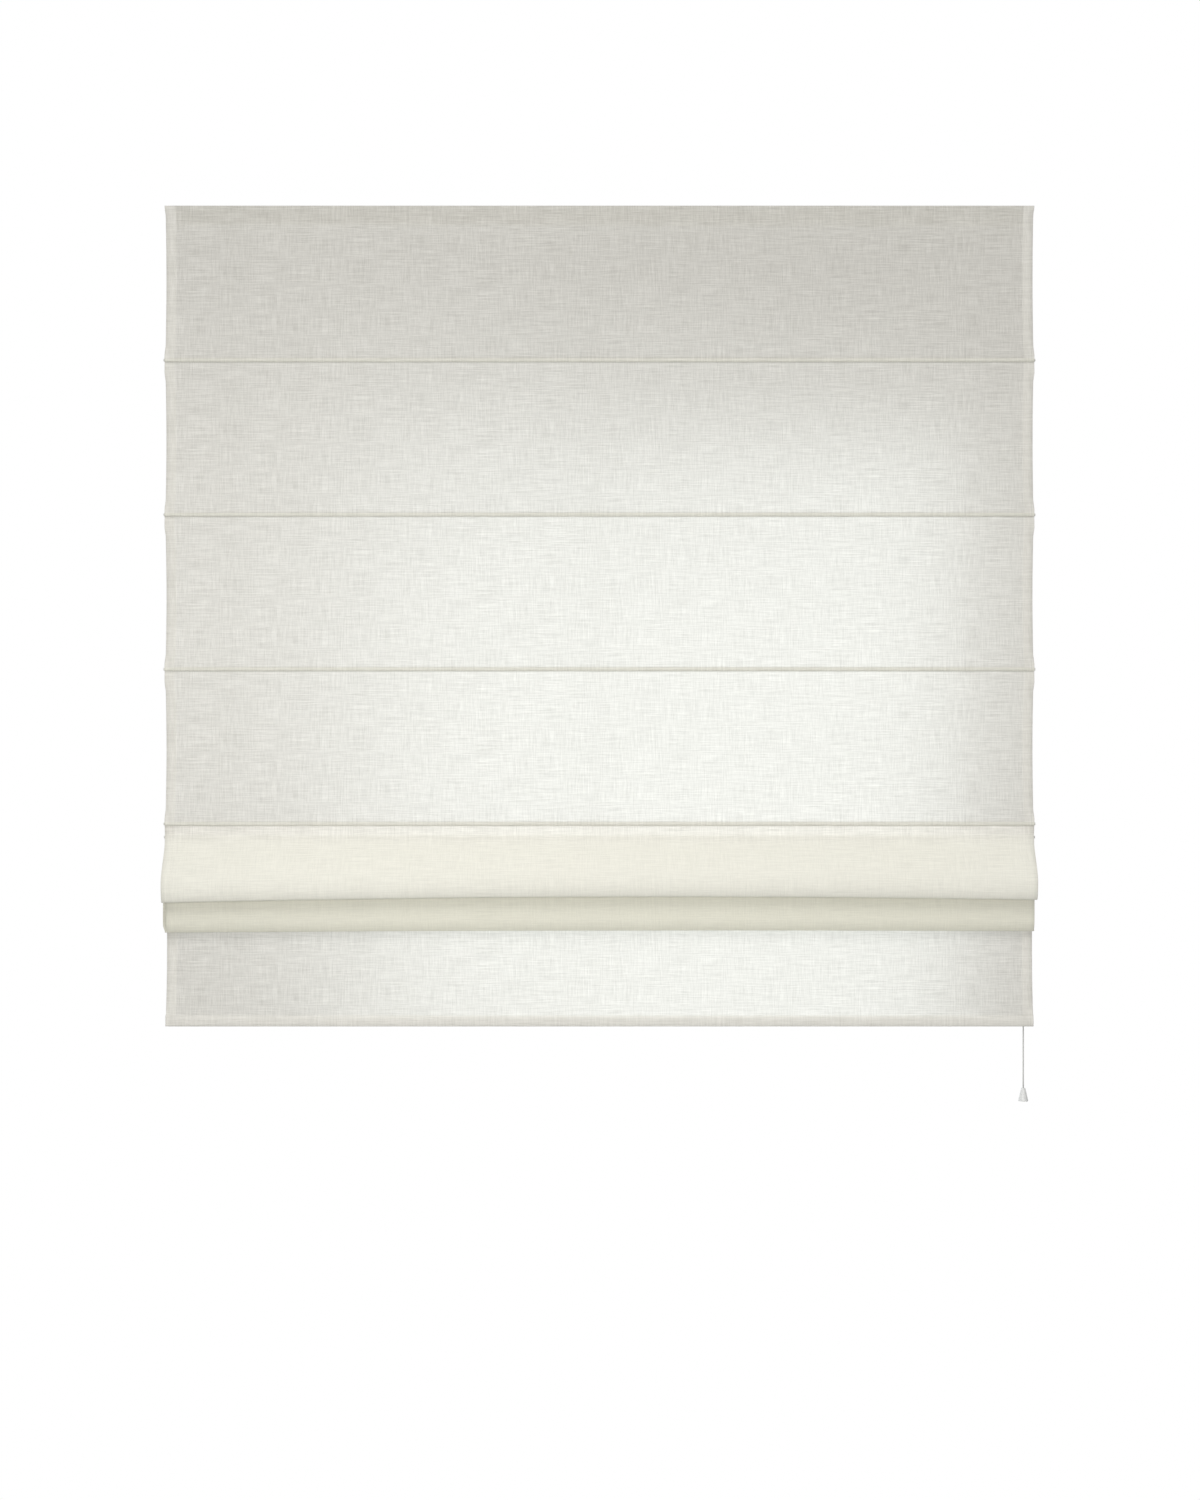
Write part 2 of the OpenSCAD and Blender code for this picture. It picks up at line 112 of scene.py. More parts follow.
def noise_of(nt, vec, scale, detail=2.0, rough=0.5, stretch=None):
    if stretch is not None:
        mp = add(nt, "ShaderNodeMapping")
        mp.inputs["Scale"].default_value = stretch
        link(nt, vec, mp.inputs["Vector"])
        vec = mp.outputs["Vector"]
    n = add(nt, "ShaderNodeTexNoise")
    n.inputs["Scale"].default_value = scale
    n.inputs["Detail"].default_value = detail
    n.inputs["Roughness"].default_value = rough
    link(nt, vec, n.inputs["Vector"])
    return n.outputs["Fac"]


def math_of(nt, op, *values):
    n = add(nt, "ShaderNodeMath", operation=op)
    for i, v in enumerate(values):
        if isinstance(v, (int, float)):
            n.inputs[i].default_value = v
        else:
            link(nt, v, n.inputs[i])
    return n.outputs[0]


def plus(nt, a, b):
    return math_of(nt, "ADD", a, b)


def minus(nt, a, b):
    return math_of(nt, "SUBTRACT", a, b)


def times(nt, a, b):
    return math_of(nt, "MULTIPLY", a, b)


def ramp_of(nt, fac, low, high):
    """A ramp between two stops, each (position, colour)."""
    r = add(nt, "ShaderNodeValToRGB")
    for e, (position, colour) in zip(r.color_ramp.elements, (low, high)):
        e.position = position
        e.color = (*colour, 1.0)
    link(nt, fac, r.inputs["Fac"])
    return r.outputs["Color"]


def bump_of(nt, height, strength, distance):
    b = add(nt, "ShaderNodeBump")
    b.inputs["Strength"].default_value = strength
    b.inputs["Distance"].default_value = distance
    link(nt, height, b.inputs["Height"])
    return b.outputs["Normal"]


def mixed(nt, out, share, body, glow):
    """The body shader, with a share of it given to the light that comes through."""
    mix = add(nt, "ShaderNodeMixShader")
    mix.inputs[0].default_value = share
    link(nt, body.outputs[0], mix.inputs[1])
    link(nt, glow.outputs[0], mix.inputs[2])
    link(nt, mix.outputs[0], out.inputs["Surface"])


# Linen: features per metre across and down the cloth, and what each adds to the tone
SLUB_WEFT, FINE_WEFT = (21.0, 500.0, 1.0), (60.0, 1150.0, 1.0)
SLUB_WARP, FINE_WARP = (520.0, 25.0, 1.0), (1200.0, 66.0, 1.0)
PATCH_SCALE, PATCH_GAIN, PATCH_TOP = 14.0, 2.1, 1.9
CLOUD_SCALE, CLOUD_TONE = 2.6, 0.18
FINE_TONE = 0.60
WARP_PITCH, WEFT_PITCH = 0.0011, 0.0012
WEAVE_TONE, WEAVE_HEIGHT = 0.055, 0.14
TONE_LOW, TONE_HIGH = 0.15, 0.85
LINEN_BUMP, LINEN_DEPTH = 0.28, 0.0006


def linen_material(name, dark, pale, lit_dark, lit_pale, through, lead=None):
    """Open linen: slubs along both threads, a fine weave, and light let through.

    lead is (dark, pale, from, to): the colours at the top of a fold, and where down its
    length they fade out.
    """
    m, nt, out = new_material(name)
    uv = add(nt, "ShaderNodeUVMap", uv_map="weave").outputs["UV"]
    weft = noise_of(nt, uv, 1.0, 3.0, 0.62, SLUB_WEFT)
    fine_weft = noise_of(nt, uv, 1.0, 2.0, 0.6, FINE_WEFT)
    warp = noise_of(nt, uv, 1.0, 3.0, 0.62, SLUB_WARP)
    fine_warp = noise_of(nt, uv, 1.0, 2.0, 0.6, FINE_WARP)
    patch = times(nt, noise_of(nt, uv, PATCH_SCALE, 2.0, 0.5), PATCH_GAIN)
    cloud = noise_of(nt, uv, CLOUD_SCALE, 3.0, 0.55)
    across = times(nt, minus(nt, weft, 0.5), patch)
    along = times(nt, minus(nt, warp, 0.5), minus(nt, PATCH_TOP, patch))
    fine = minus(nt, plus(nt, fine_weft, fine_warp), 1.0)
    slub = plus(nt, plus(nt, across, along), times(nt, fine, FINE_TONE))
    sep = add(nt, "ShaderNodeSeparateXYZ")
    link(nt, uv, sep.inputs[0])
    tx = math_of(nt, "SINE", times(nt, sep.outputs[0], 2 * math.pi / WARP_PITCH))
    ty = math_of(nt, "SINE", times(nt, sep.outputs[1], 2 * math.pi / WEFT_PITCH))
    weave = times(nt, tx, ty)
    tone = plus(nt, plus(nt, slub, 0.5), times(nt, weave, WEAVE_TONE))
    tone = plus(nt, tone, times(nt, minus(nt, cloud, 0.5), CLOUD_TONE))
    colour = ramp_of(nt, tone, (TONE_LOW, dark), (TONE_HIGH, pale))
    # The fold's painted light fades in down its length, below the plain colours at its top
    if lead:
        lead_dark, lead_pale, lead_from, lead_to = lead
        fade = add(nt, "ShaderNodeMapRange", interpolation_type="SMOOTHSTEP")
        fade.inputs["From Min"].default_value = lead_from
        fade.inputs["From Max"].default_value = lead_to
        link(nt, sep.outputs[1], fade.inputs["Value"])
        blend = add(nt, "ShaderNodeMix", data_type="RGBA")
        link(nt, fade.outputs["Result"], blend.inputs["Factor"])
        lead_colour = ramp_of(nt, tone, (TONE_LOW, lead_dark), (TONE_HIGH, lead_pale))
        link(nt, lead_colour, blend.inputs["A"])
        link(nt, colour, blend.inputs["B"])
        colour = blend.outputs["Result"]
    height = plus(nt, slub, times(nt, weave, WEAVE_HEIGHT))
    normal = bump_of(nt, height, LINEN_BUMP, LINEN_DEPTH)
    body = add(nt, "ShaderNodeBsdfPrincipled")
    body.inputs["Roughness"].default_value = 0.92
    body.inputs["Specular IOR Level"].default_value = 0.12
    body.inputs["Sheen Weight"].default_value = 0.08
    body.inputs["Sheen Roughness"].default_value = 0.6
    link(nt, colour, body.inputs["Base Color"])
    link(nt, normal, body.inputs["Normal"])
    glow = add(nt, "ShaderNodeBsdfTranslucent")
    lit = ramp_of(nt, tone, (TONE_LOW, lit_dark), (TONE_HIGH, lit_pale))
    link(nt, lit, glow.inputs["Color"])
    link(nt, normal, glow.inputs["Normal"])
    mixed(nt, out, through, body, glow)
    return m


def solid_material(name, dark, pale, rough, rough_var, scale, bump, metallic=0.0, spec=0.5,
                   stretch=None):
    m, nt, out = new_material(name)
    co = add(nt, "ShaderNodeTexCoord").outputs["Object"]
    fine = noise_of(nt, co, scale, 3.0, 0.6, stretch)
    wide = noise_of(nt, co, 18.0, 2.0, 0.5)
    tone = plus(nt, times(nt, fine, 0.6), times(nt, wide, 0.4))
    p = add(nt, "ShaderNodeBsdfPrincipled")
    link(nt, ramp_of(nt, tone, (0.32, dark), (0.68, pale)), p.inputs["Base Color"])
    rough_of = plus(nt, times(nt, fine, rough_var), rough - rough_var / 2)
    link(nt, rough_of, p.inputs["Roughness"])
    p.inputs["Metallic"].default_value = metallic
    p.inputs["Specular IOR Level"].default_value = spec
    link(nt, bump_of(nt, fine, bump, 0.0004), p.inputs["Normal"])
    link(nt, p.outputs[0], out.inputs["Surface"])
    return m


def milky_material(name, dark, pale, rough, through, scale=260.0, stretch=None):
    """Half clear plastic or glass fibre."""
    m, nt, out = new_material(name)
    co = add(nt, "ShaderNodeTexCoord").outputs["Object"]
    fine = noise_of(nt, co, scale, 3.0, 0.6, stretch)
    colour = ramp_of(nt, fine, (0.3, dark), (0.7, pale))
    p = add(nt, "ShaderNodeBsdfPrincipled")
    link(nt, colour, p.inputs["Base Color"])
    link(nt, plus(nt, times(nt, fine, 0.1), rough - 0.05), p.inputs["Roughness"])
    link(nt, bump_of(nt, fine, 0.12, 0.0003), p.inputs["Normal"])
    glow = add(nt, "ShaderNodeBsdfTranslucent")
    link(nt, colour, glow.inputs["Color"])
    mixed(nt, out, through, p, glow)
    return m


def braid_material(name, dark, pale, pitch):
    """Braided cord: two crossing sets of strands round the cord."""
    m, nt, out = new_material(name)
    strands_each_way = 3
    uv = add(nt, "ShaderNodeUVMap", uv_map="weave").outputs["UV"]
    sep = add(nt, "ShaderNodeSeparateXYZ")
    link(nt, uv, sep.inputs[0])
    along = times(nt, sep.outputs[1], 2 * math.pi / pitch)
    around = times(nt, sep.outputs[0], 2 * math.pi * strands_each_way)
    s1 = math_of(nt, "SINE", plus(nt, along, around))
    s2 = math_of(nt, "SINE", minus(nt, along, around))
    strands = times(nt, math_of(nt, "MAXIMUM", s1, s2), 0.5)
    fuzz = noise_of(nt, uv, 1.0, 2.0, 0.6, (8.0, 900.0, 1.0))
    tone = plus(nt, plus(nt, times(nt, strands, 0.5), 0.25), times(nt, fuzz, 0.3))
    p = add(nt, "ShaderNodeBsdfPrincipled")
    link(nt, ramp_of(nt, tone, (0.15, dark), (0.75, pale)), p.inputs["Base Color"])
    p.inputs["Roughness"].default_value = 0.75
    p.inputs["Sheen Weight"].default_value = 0.1
    link(nt, bump_of(nt, tone, 0.5, 0.0004), p.inputs["Normal"])
    link(nt, p.outputs[0], out.inputs["Surface"])
    return m


# Materials: cloth in one layer, then in the layers of tucks (with painted highlight) and hems,
# then in the folds (with painted light), then the rest
LINEN_DARK, LINEN_PALE = (0.577, 0.557, 0.507), (0.878, 0.856, 0.800)
LINEN = linen_material("linen", LINEN_DARK, LINEN_PALE,
                       (0.652, 0.66, 0.627), (0.724, 0.735, 0.708), 0.38)
# Cloth in two layers lets less light through; its paler colour is partly the second layer and
# partly painted highlight on the tucks' crests
LINEN_DOUBLE_PAINTED_HIGHLIGHT = linen_material("linen_double_painted_highlight", (0.66, 0.65, 0.58), (0.87, 0.857, 0.78),
                              (0.70, 0.71, 0.65), (0.74, 0.75, 0.70), 0.24)
LINEN_HEM = linen_material("linen_hem", (0.66, 0.645, 0.597), (0.865, 0.847, 0.797),
                           (0.70, 0.71, 0.66), (0.74, 0.75, 0.71), 0.24)
# Fold 1: paler and creamier than the panels' linen, as painted light reflected about inside the
# fold; below its top it fades in from the plain linen over 30 mm
LINEN_FOLD_PAINTED_LIGHT = linen_material("linen_fold_painted_light", (0.755, 0.745, 0.673), (0.89, 0.878, 0.797),
                              (0.72, 0.72, 0.66), (0.76, 0.76, 0.70), 0.18,
                              (LINEN_DARK, LINEN_PALE, 0.0, 0.030))
# Fold 2, in the shade of fold 1: paler and creamier than the panels' linen, as painted light that
# lifts that shade and stands for light reflected about inside the folds
LINEN_INNER_PAINTED_LIGHT = linen_material("linen_inner_painted_light", (0.735, 0.722, 0.627), (0.857, 0.842, 0.735),
                             (0.72, 0.715, 0.63), (0.76, 0.755, 0.67), 0.24)
THREAD = solid_material("sewing_thread", (0.62, 0.60, 0.54), (0.80, 0.78, 0.72),
                        0.7, 0.1, 900.0, 0.3)
COAT = solid_material("white_powder_coat", (0.74, 0.74, 0.73), (0.83, 0.83, 0.82),
                      0.42, 0.12, 900.0, 0.25)
PLASTIC = solid_material("white_plastic", (0.72, 0.72, 0.70), (0.80, 0.80, 0.78),
                         0.38, 0.1, 420.0, 0.1)
PAINT = solid_material("painted_steel", (0.66, 0.66, 0.65), (0.76, 0.76, 0.75),
                       0.33, 0.14, 600.0, 0.18, spec=0.55)
STEEL = solid_material("bright_steel", (0.50, 0.50, 0.50), (0.66, 0.66, 0.65),
                       0.28, 0.16, 900.0, 0.15, metallic=1.0, stretch=(0.05, 1, 1))
FIBRE = milky_material("glass_fibre_rod", (0.76, 0.76, 0.73), (0.86, 0.86, 0.83),
                       0.34, 0.55, 700.0, (0.03, 1, 1))
MILKY = milky_material("milky_plastic", (0.74, 0.745, 0.74), (0.84, 0.845, 0.835), 0.30, 0.30)
HOOKS = solid_material("hook_tape", (0.60, 0.60, 0.58), (0.84, 0.84, 0.82),
                       0.6, 0.2, 1500.0, 0.9)
LOOPS = solid_material("loop_tape", (0.66, 0.66, 0.64), (0.86, 0.86, 0.84),
                       0.95, 0.05, 1100.0, 1.0, spec=0.1)
CORD = braid_material("braided_cord", (0.32, 0.32, 0.31), (0.58, 0.58, 0.56), 0.0016)


# Mesh helpers
def smooth(u):
    c = min(max(u, 0.0), 1.0)
    return c * c * (3 - 2 * c)


def mesh_object(name, verts, faces, uvs, mats, face_mats=None):
    me = bpy.data.meshes.new(name)
    me.from_pydata(verts, [], faces)
    layer = me.uv_layers.new(name="weave")
    for poly in me.polygons:
        poly.use_smooth = True
        for li in poly.loop_indices:
            layer.data[li].uv = uvs[me.loops[li].vertex_index]
    for m in mats:
        me.materials.append(m)
    if face_mats:
        for poly, i in zip(me.polygons, face_mats):
            poly.material_index = i
    me.update()
    ob = bpy.data.objects.new(name, me)
    scene.collection.objects.link(ob)
    return ob


def tube_data(path, radius, sides, base):
    """A closed tube along a path: vertices, faces and cord coordinates."""
    verts, faces, uvs = [], [], []
    last = len(path) - 1
    v = 0.0
    for i, p in enumerate(path):
        p = Vector(p)
        t = (Vector(path[min(i + 1, last)]) - Vector(path[max(i - 1, 0)])).normalized()
        u = t.cross(Vector((0, 1, 0)))
        u = u.normalized() if u.length > 1e-6 else Vector((1, 0, 0))
        w = u.cross(t)
        if i:
            v += (p - Vector(path[i - 1])).length
        for k in range(sides + 1):
            a = 2 * math.pi * k / sides
            verts.append(tuple(p + radius * (math.cos(a) * u + math.sin(a) * w)))
            uvs.append((k / sides, v))
    n = sides + 1
    for i in range(last):
        for k in range(sides):
            o = base + i * n + k
            faces.append((o, o + 1, o + n + 1, o + n))
    faces.append(tuple(base + k for k in range(sides))[::-1])
    faces.append(tuple(base + last * n + k for k in range(sides)))
    return verts, faces, uvs


def weld(ob, dist=1e-6):
    bm = bmesh.new()
    bm.from_mesh(ob.data)
    bmesh.ops.remove_doubles(bm, verts=bm.verts, dist=dist)
    bmesh.ops.recalc_face_normals(bm, faces=bm.faces)
    bm.to_mesh(ob.data)
    bm.free()
    ob.data.update()


def tubes(name, paths, radius, sides=10):
    verts, faces, uvs = [], [], []
    for path in paths:
        more_verts, more_faces, more_uvs = tube_data(path, radius, sides, len(verts))
        verts += more_verts
        faces += more_faces
        uvs += more_uvs
    ob = mesh_object(name, verts, faces, uvs, [CORD])
    weld(ob)
    return ob


def run(p, q, n):
    return [tuple(Vector(p).lerp(Vector(q), i / n)) for i in range(n + 1)]


# Pull cord: straight down from the joiner, through the bell's crown, to its knot
KNOT_R, KNOT_RISE, KNOT_LUMP = 0.0020, 0.0019, 0.10
KNOT_Z = BELL_TOP - 0.0056
KNOT_RINGS, KNOT_SIDES = 10, 14


def knot_object():
    verts, faces, uvs = [], [], []
    for i in range(KNOT_RINGS + 1):
        th = math.pi * i / KNOT_RINGS
        for k in range(KNOT_SIDES):
            ph = 2 * math.pi * k / KNOT_SIDES
            r = KNOT_R * (1 + KNOT_LUMP * math.sin(3 * ph + 5 * math.cos(th))) * math.sin(th)
            verts.append((PULL_X + r * math.cos(ph), PULL_Y + r * math.sin(ph),
                          KNOT_Z + KNOT_RISE * math.cos(th)))
            uvs.append((k / KNOT_SIDES, 0.004 * i / KNOT_RINGS))
    for i in range(KNOT_RINGS):
        for k in range(KNOT_SIDES):
            m = (k + 1) % KNOT_SIDES
            a, b = i * KNOT_SIDES, (i + 1) * KNOT_SIDES
            faces.append((a + k, b + k, b + m, a + m))
    ob = mesh_object("pull_knot", verts, faces, uvs, [CORD])
    weld(ob)
    return ob


pull_path = run((PULL_X, PULL_Y, JOINER_END + 0.002), (PULL_X, PULL_Y, BELL_TOP - 0.0045), 40)
pull = tubes("pull_line", [pull_path], PULL_R, 12)
knot = knot_object()
for ob in (pull, knot):
    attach(ob, "pull")
    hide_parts("pull_cord")


# Lift cords: one length for each stretch between rings, then over the rollers to the lock
def lift_y(z):
    if z >= ROD_Z[0]:
        return HANG_Y + (DROP_Y - HANG_Y) * (z - ROD_Z[0]) / (ROLLER_Z - ROD_Z[0])
    if z >= ROD_Z[3]:
        return HANG_Y
    share = (ROD_Z[3] - z) / (ROD_Z[3] - STOP_TOP - 0.0012)
    return HANG_Y + (RING_Y[5] - HANG_Y) * min(share, 1.0)


def arc(x, y, z, r, a0, a1, n=10):
    angles = [math.radians(a0 + (a1 - a0) * i / n) for i in range(n + 1)]
    return [(x + r * math.cos(a), y, z + r * math.sin(a)) for a in angles]


rail_paths = []
for x, lock_y in zip(CORD_X, LOCK_Y):
    up = [(x, lift_y(z), z) for z in (RAIL_EXIT_Z, RAIL_EXIT_Z + 0.010)]
    over = arc(x + BEND_R, DROP_Y, ROLLER_Z, BEND_R, 180, 90)
    far = arc(LOCK_ROLLER_X, lock_y, ROLLER_Z, BEND_R, 90, 0)
    rail_paths.append(up + over + run(over[-1], far[0], 12)[1:-1] + far)
rail_cords = tubes("lift_cords_in_rail", rail_paths, LIFT_R)
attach(rail_cords, "headrail")
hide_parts("lift_cords")

STRETCH_Z = [RAIL_EXIT_Z] + ROD_Z[:5] + [STOP_TOP]
for k in range(6):
    z0, z1 = STRETCH_Z[k:k + 2]
    n = 28 if k < 4 else 8
    heights = [z0 + (z1 - z0) * i / n for i in range(n + 1)]
    paths = [[(x, lift_y(z), z) for z in heights] for x in CORD_X]
    ob = tubes(f"lift_cords_{k + 1}", paths, LIFT_R)
    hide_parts("lift_cords")
    if k == 5:
        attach(ob, "rod_6")
    else:
        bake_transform(ob)

# Tails from the lock to the joiner
for i, lock_y in enumerate(LOCK_Y):
    drawn_y = lock_y + (1 - i) * 0.00015
    tail_path = run((PULL_X, lock_y, ROLLER_Z), (PULL_X, drawn_y, JOINER_TOP - 0.001), 34)
    tail = tubes(f"pull_tail_{i + 1}", [tail_path], LIFT_R)
    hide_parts("cord_tails")
    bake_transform(tail)

# Cloth: a strip of rows from top to bottom, with turned side hems, pockets and stitches
COLUMNS = 100
ROW_STEP = 0.0065       # between the rows of a hanging panel
EDGE_GAP = 0.0003       # main cloth to the fold of its side hem
HEM_BACK = 0.0009       # side hem behind the cloth
POCKET_HEM = 0.15       # share of that depth where the cloth is sewn to a rod or the bar
# Side hem in (distance in from the edge, distance behind the cloth), from its inner edge out
TURN = [(0.0150, 0.0008), (0.0110, HEM_BACK), (0.0060, HEM_BACK), (0.0015, HEM_BACK),
        (0.0004, 0.0007), (0.0, 0.0004)]
STITCH_R = 0.00022
STITCH_HALF = 0.0013
STITCH_PITCH = 0.0038
STITCH_IN = 0.0128      # cloth edge to the stitches of a side hem
STITCH_OUT = 0.0001     # stitches ahead of the cloth
CROSS_IN = 0.004        # cloth edge to the ends of a row of stitches across it
SINGLE, SEWN, DOUBLE, SIDE = range(4)   # places in Cloth.linens


def columns():
    """Shares of the half width: even between the side hems, two steps across each hem."""
    inner = 1 - HEM_W / HALF
    outer = [1, (1 + inner) / 2]
    middle = [inner * (2 * j / COLUMNS - 1) for j in range(COLUMNS + 1)]
    return [-c for c in outer] + middle + outer[::-1]


MAIN = columns()


def waver(x, s, amount):
    return amount * noise.noise(Vector((x * 3.1, s * 2.3, 4.7)))


class Cloth:
    """Rows of points (y, z) down the cloth that are swept across the blind's width."""

    def __init__(self, name, linen=LINEN, double=LINEN_DOUBLE_PAINTED_HIGHLIGHT, side=LINEN_HEM):
        self.name = name
        self.linens = [linen, THREAD, double, side]
        self.rows = []
        self.extra = []
        self.stitches = []
        self.verts, self.uvs, self.faces, self.mats = [], [], [], []

    def sweep_rows(self, shape):
        rows = self.rows
        cols = [(-1, d, b) for d, b in TURN] + [(c, None, 0.0) for c in MAIN]
        cols += [(1, d, b) for d, b in TURN[::-1]]
        for i, row in enumerate(rows):
            for c, d, b in cols:
                half = HALF - row["inset"][1 if c > 0 else 0]
                if d is None:
                    x = u = c * (half - EDGE_GAP)
                else:
                    x, u = c * (half - d), c * (HALF + d)
                y, z = shape(x, i)
                y0, z0 = shape(x, max(i - 1, 0))
                y1, z1 = shape(x, min(i + 1, len(rows) - 1))
                ty, tz = y1 - y0, z1 - z0
                ln = math.hypot(ty, tz) or 1.0
                back = b * row["hem"]
                self.verts.append((x, y - back * tz / ln, z + back * ty / ln))
                self.uvs.append((u, row["s"]))
        nc = len(cols)
        for i in range(len(rows) - 1):
            for j in range(nc - 1):
                o = i * nc + j
                self.faces.append((o, o + nc, o + nc + 1, o + 1))
                in_hem = min(j, nc - 2 - j) < len(TURN) + 2
                self.mats.append(DOUBLE if rows[i]["double"] else SIDE if in_hem else SINGLE)

    def sweep_strip(self, pts, s):
        """A strip of doubled cloth, such as the back of a pocket, from the arc length s on."""
        base, n = len(self.verts), len(MAIN)
        for i, (y, z) in enumerate(pts):
            if i:
                s += math.dist(pts[i], pts[i - 1])
            for c in MAIN:
                x = c * (HALF - EDGE_GAP)
                self.verts.append((x, y, z))
                self.uvs.append((x, s))
        for i in range(len(pts) - 1):
            for j in range(n - 1):
                o = base + i * n + j
                self.faces.append((o, o + n, o + n + 1, o + 1))
                self.mats.append(DOUBLE)

    def sweep_stitch(self, p, along, up):
        p, along, up = Vector(p), Vector(along), Vector(up)
        wide = along.cross(up).normalized() * STITCH_R
        high = up * STITCH_R
        base = len(self.verts)
        for q in (p - along, p + along, p + wide, p + high, p - wide, p - high):
            self.verts.append(tuple(q))
            self.uvs.append((q.x, q.z))
        for k in range(4):
            m = (k + 1) % 4
            self.faces.append((base, base + 2 + m, base + 2 + k))
            self.faces.append((base + 1, base + 2 + k, base + 2 + m))
            self.mats += [SEWN, SEWN]

    def build(self, shape):
        """shape(x, row) gives (y, z) for a row at x; the rows run down the cloth."""
        self.sweep_rows(shape)
        for pts, s in self.extra:
            self.sweep_strip(pts, s)
        for stitch in self.stitches:
            self.sweep_stitch(*stitch)
        ob = mesh_object(self.name, self.verts, self.faces, self.uvs, self.linens, self.mats)
        weld(ob, 1e-5)
        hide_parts("fabric")
        return ob


def measured(pts, inset, hem=None, start=0.0, double=None):
    """Rows with arc length from (y, z) points.

    inset(row) draws in the left and the right edge, hem(row) is the share of the side hem's
    depth, and the rows from double on are sewn in two layers.
    """
    s = start
    rows = []
    for i, (y, z) in enumerate(pts):
        if i:
            s += math.dist(pts[i], pts[i - 1])
        rows.append({"y": y, "z": z, "s": s, "inset": inset(i), "hem": hem(i) if hem else 1.0,
                     "double": double is not None and i >= double})
    return rows


# A tuck in front of a rod, as (y, z) from the rod's axis in mm: down its front, up the back of
# its pocket, and the top of the next panel under it
TUCK = [(-1.0, 8.0), (-1.0, 6.2), (-1.06, 4.8), (-1.22, 3.6), (-1.55, 2.5), (-1.95, 1.5),
        (-2.22, 0.6), (-2.3, -0.3), (-2.16, -1.2), (-1.72, -2.0), (-1.05, -2.6), (-0.2, -2.9)]
TUCK_SINGLE = 4         # points of a tuck above its pocket
POCKET = [(-0.2, -2.9), (0.8, -2.6), (1.7, -2.0), (2.35, -1.05), (2.6, 0.0), (2.35, 1.1),
          (1.75, 1.95), (0.95, 2.55), (0.1, 2.85), (-0.7, 3.0), (-1.33, 3.1)]
UNDER = [(-0.2, -2.9), (0.15, -3.5), (0.1, -4.4), (-0.12, -6.0), (-0.45, -8.5),
         (-0.75, -11.5), (-0.95, -15.0), (-1.0, -19.0)]
# Top edge of the cloth, as (y, z) from the cloth's plane and top in mm, turned in over the tape
HEAD = [(2.1, -1.2), (1.6, -0.4), (0.9, 0.0), (0.3, -0.3), (0.0, -1.0)]


def offset(y0, z0, pts):
    return [(y0 + y * MM, z0 + z * MM) for y, z in pts]


def at(k, pts):
    return offset(POCKET_Y[k], ROD_Z[k], pts)


def spaced(z0, z1, step):
    n = max(int(abs(z1 - z0) / step), 1)
    return [z0 + (z1 - z0) * i / n for i in range(n + 1)]


def row_stitches(cloth, shape, first, last):
    """Stitches that follow the rows, on both faces of the side hems."""
    due = cloth.rows[first]["s"]
    for i in range(first, last):
        a, b = cloth.rows[i], cloth.rows[i + 1]
        while due < b["s"]:
            u = (due - a["s"]) / (b["s"] - a["s"])
            for side, inset in zip((-1, 1), a["inset"]):
                x = side * (HALF - inset - STITCH_IN)
                (y0, z0), (y1, z1) = shape(x, i), shape(x, i + 1)
                t = Vector((0, y1 - y0, z1 - z0)).normalized()
                out = Vector((0, t.z, -t.y))
                along = t * STITCH_HALF
                p = Vector((x, y0 + (y1 - y0) * u, z0 + (z1 - z0) * u))
                behind = STITCH_OUT + HEM_BACK * a["hem"]
                cloth.stitches.append((p + out * STITCH_OUT, along, out))
                cloth.stitches.append((p - out * behind, along, -out))
            due += STITCH_PITCH


def cross_stitches(cloth, y, z, facing):
    """Stitches along the width; facing is -1 for the room side and 1 for the back."""
    x = -HALF + CROSS_IN
    while x < HALF - CROSS_IN:
        cloth.stitches.append(((x, y, z), (STITCH_HALF, 0, 0), (0, facing, 0)))
        x += STITCH_PITCH


# Hanging panels 1 to 4: they draw in at the edges and bulge a little between the rods
DRAWN_IN, DRAWN_BY = 0.0015, 0.22       # at the edges, and the share of the bulge it takes
PANEL_BULGE, PANEL_WAVER = 0.0006, 0.0016
HEM_GAIN = 6            # how fast a side hem gets its full depth as the panel bulges
SEWN_FROM = -0.016      # first stitch of panel 1's side hems
HEAD_STITCH = 0.030     # cloth top to the stitches of the loop tape


def hang_panel(k):
    head = at(k - 1, UNDER) if k else offset(CLOTH_Y, TOP, HEAD)
    foot = at(k, TUCK)
    z_top, z_foot = head[-1][1], foot[0][1]
    mid = [(CLOTH_Y, z) for z in spaced(z_top, z_foot, ROW_STEP)][1:-1]
    pts = head + mid + foot

    def belly(z):
        u = (z_top - z) / (z_top - z_foot)
        return math.sin(math.pi * u) if 0 < u < 1 else 0.0

    def inset(i):
        b = belly(pts[i][1])
        drawn = DRAWN_IN * smooth(b / DRAWN_BY) + DRAWN_IN * b
        return drawn, drawn

    def hem(i):
        return min(belly(pts[i][1]) * HEM_GAIN, 1.0) * (1 - POCKET_HEM) + POCKET_HEM

    def shape(x, i):
        y, z = pts[i]
        b = belly(z)
        return y - PANEL_BULGE * b + b * waver(x, z, PANEL_WAVER), z

    c = Cloth(f"panel_{k + 1}")
    # The tuck's rows below its first points, and its pocket, take the two-layer linen with its
    # painted highlight
    c.rows = measured(pts, inset, hem, double=len(pts) - len(foot) + TUCK_SINGLE)
    c.extra.append((at(k, POCKET), c.rows[-1]["s"]))
    z_sewn = z_top if k else SEWN_FROM
    first = next(i for i, p in enumerate(pts) if p[1] <= z_sewn)
    row_stitches(c, shape, first, len(head) + len(mid))
    if k == 0:
        cross_stitches(c, CLOTH_Y - 0.0003, TOP - HEAD_STITCH, -1)
    ob = c.build(shape)
    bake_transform(ob)


for k in range(4):
    hang_panel(k)
